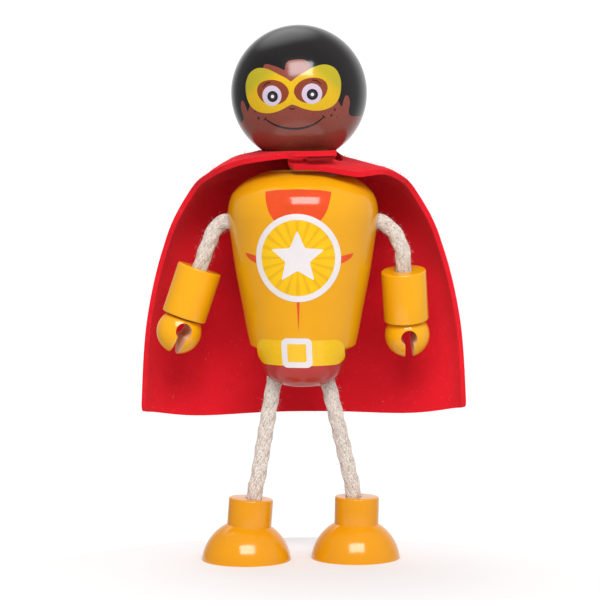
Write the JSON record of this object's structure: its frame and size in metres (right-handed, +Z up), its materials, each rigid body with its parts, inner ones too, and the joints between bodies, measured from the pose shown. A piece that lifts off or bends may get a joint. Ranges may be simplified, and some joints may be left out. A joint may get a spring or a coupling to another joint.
{
  "type": "bendy doll",
  "caption": "Small standing doll of turned, lacquered wood with bendable wired-cord arms and legs, grip hands, domed feet and a felt cape fastened round the neck.",
  "frame": {"origin": "on the surface that the doll stands on, at the middle of the doll's box, between the feet", "axes": "+Z up through the head; the doll faces -Y; its left arm and leg are at +X"},
  "size_m": [0.0734, 0.0359, 0.119],
  "materials": {
    "body_lacquer": "gloss",
    "yellow_lacquer": "gloss",
    "head_lacquer": "gloss",
    "bare_wood": "matte",
    "cotton_cord": "matte",
    "soft_iron": "satin",
    "red_felt": "matte",
    "red_tape": "matte"
  },
  "bodies": {
    "torso": {"body": "body_lacquer", "neck_dowel": "bare_wood", "cape": "red_felt", "hook_patch": "red_tape", "loop_patch": "red_tape", "right_arm_root_cord": "cotton_cord", "right_arm_root_wire": "soft_iron", "left_arm_root_cord": "cotton_cord", "left_arm_root_wire": "soft_iron", "right_leg_root_cord": "cotton_cord", "right_leg_root_wire": "soft_iron", "left_leg_root_cord": "cotton_cord", "left_leg_root_wire": "soft_iron"},
    "head": {"head": "head_lacquer"},
    "right_upper_arm": {"right_arm_upper_cord": "cotton_cord", "right_arm_upper_wire": "soft_iron"},
    "right_forearm": {"right_arm_lower_cord": "cotton_cord", "right_arm_lower_wire": "soft_iron", "right_cuff": "yellow_lacquer"},
    "right_hand": {"right_hand": "yellow_lacquer"},
    "left_upper_arm": {"left_arm_upper_cord": "cotton_cord", "left_arm_upper_wire": "soft_iron"},
    "left_forearm": {"left_arm_lower_cord": "cotton_cord", "left_arm_lower_wire": "soft_iron", "left_cuff": "yellow_lacquer"},
    "left_hand": {"left_hand": "yellow_lacquer"},
    "right_hip": {"right_leg_hip_cord": "cotton_cord", "right_leg_hip_wire": "soft_iron"},
    "right_thigh": {"right_leg_thigh_cord": "cotton_cord", "right_leg_thigh_wire": "soft_iron"},
    "right_shin": {"right_leg_shin_cord": "cotton_cord", "right_leg_shin_wire": "soft_iron"},
    "right_foot": {"right_leg_end_cord": "cotton_cord", "right_leg_end_wire": "soft_iron", "right_foot": "yellow_lacquer"},
    "left_hip": {"left_leg_hip_cord": "cotton_cord", "left_leg_hip_wire": "soft_iron"},
    "left_thigh": {"left_leg_thigh_cord": "cotton_cord", "left_leg_thigh_wire": "soft_iron"},
    "left_shin": {"left_leg_shin_cord": "cotton_cord", "left_leg_shin_wire": "soft_iron"},
    "left_foot": {"left_leg_end_cord": "cotton_cord", "left_leg_end_wire": "soft_iron", "left_foot": "yellow_lacquer"}
  },
  "joints": [
    {"name": "head_turn", "type": "hinge", "parent": "torso", "child": "head", "pos_m": [0, -0.0009, 0.087], "axis": [-0.0523, 0, 0.9986], "continuous": true},
    {"name": "right_arm_swing", "type": "hinge", "parent": "torso", "child": "right_upper_arm", "pos_m": [-0.01868, -0.0009, 0.07484], "axis": [-1, 0, 0], "range_deg": [-8, 100]},
    {"name": "right_arm_raise", "type": "hinge", "parent": "right_upper_arm", "child": "right_forearm", "pos_m": [-0.02065, -0.0009, 0.07141], "axis": [0, 1, 0], "range_deg": [-8, 75]},
    {"name": "right_hand_turn", "type": "hinge", "parent": "right_forearm", "child": "right_hand", "pos_m": [-0.02758, -0.0009, 0.05116], "axis": [-0.3162, 0, -0.9487], "continuous": true},
    {"name": "left_arm_swing", "type": "hinge", "parent": "torso", "child": "left_upper_arm", "pos_m": [0.0186, -0.00095, 0.07473], "axis": [-1, 0, 0], "range_deg": [-5, 100]},
    {"name": "left_arm_raise", "type": "hinge", "parent": "left_upper_arm", "child": "left_forearm", "pos_m": [0.02105, -0.00136, 0.07164], "axis": [0.0124, -0.9831, -0.1825], "range_deg": [-8, 75]},
    {"name": "left_hand_turn", "type": "hinge", "parent": "left_forearm", "child": "left_hand", "pos_m": [0.02328, 0.00181, 0.05018], "axis": [0.0665, 0.1829, -0.9809], "continuous": true},
    {"name": "right_hip_splay", "type": "hinge", "parent": "torso", "child": "right_hip", "pos_m": [-0.00691, -0.0009, 0.03704], "axis": [0, 1, 0], "range_deg": [-2.5, 30]},
    {"name": "right_hip_swing", "type": "hinge", "parent": "right_hip", "child": "right_thigh", "pos_m": [-0.00779, -0.00089, 0.03191], "axis": [-1, 0, 0], "range_deg": [-45, 88]},
    {"name": "right_knee", "type": "hinge", "parent": "right_thigh", "child": "right_shin", "pos_m": [-0.00898, -0.00095, 0.02481], "axis": [1, 0, 0], "range_deg": [-30, 75]},
    {"name": "right_ankle", "type": "hinge", "parent": "right_shin", "child": "right_foot", "pos_m": [-0.01066, -0.00129, 0.01577], "axis": [1, 0, 0], "range_deg": [-35, 35]},
    {"name": "left_hip_splay", "type": "hinge", "parent": "torso", "child": "left_hip", "pos_m": [0.00634, -0.00081, 0.03644], "axis": [0, -1, 0], "range_deg": [-2.5, 30]},
    {"name": "left_hip_swing", "type": "hinge", "parent": "left_hip", "child": "left_thigh", "pos_m": [0.00754, -0.00048, 0.03139], "axis": [-1, 0, 0], "range_deg": [-45, 88]},
    {"name": "left_knee", "type": "hinge", "parent": "left_thigh", "child": "left_shin", "pos_m": [0.00918, 0.00006, 0.02441], "axis": [1, 0, 0], "range_deg": [-30, 75]},
    {"name": "left_ankle", "type": "hinge", "parent": "left_shin", "child": "left_foot", "pos_m": [0.01108, 0.00068, 0.01596], "axis": [1, 0, 0], "range_deg": [-35, 35]}
  ]
}
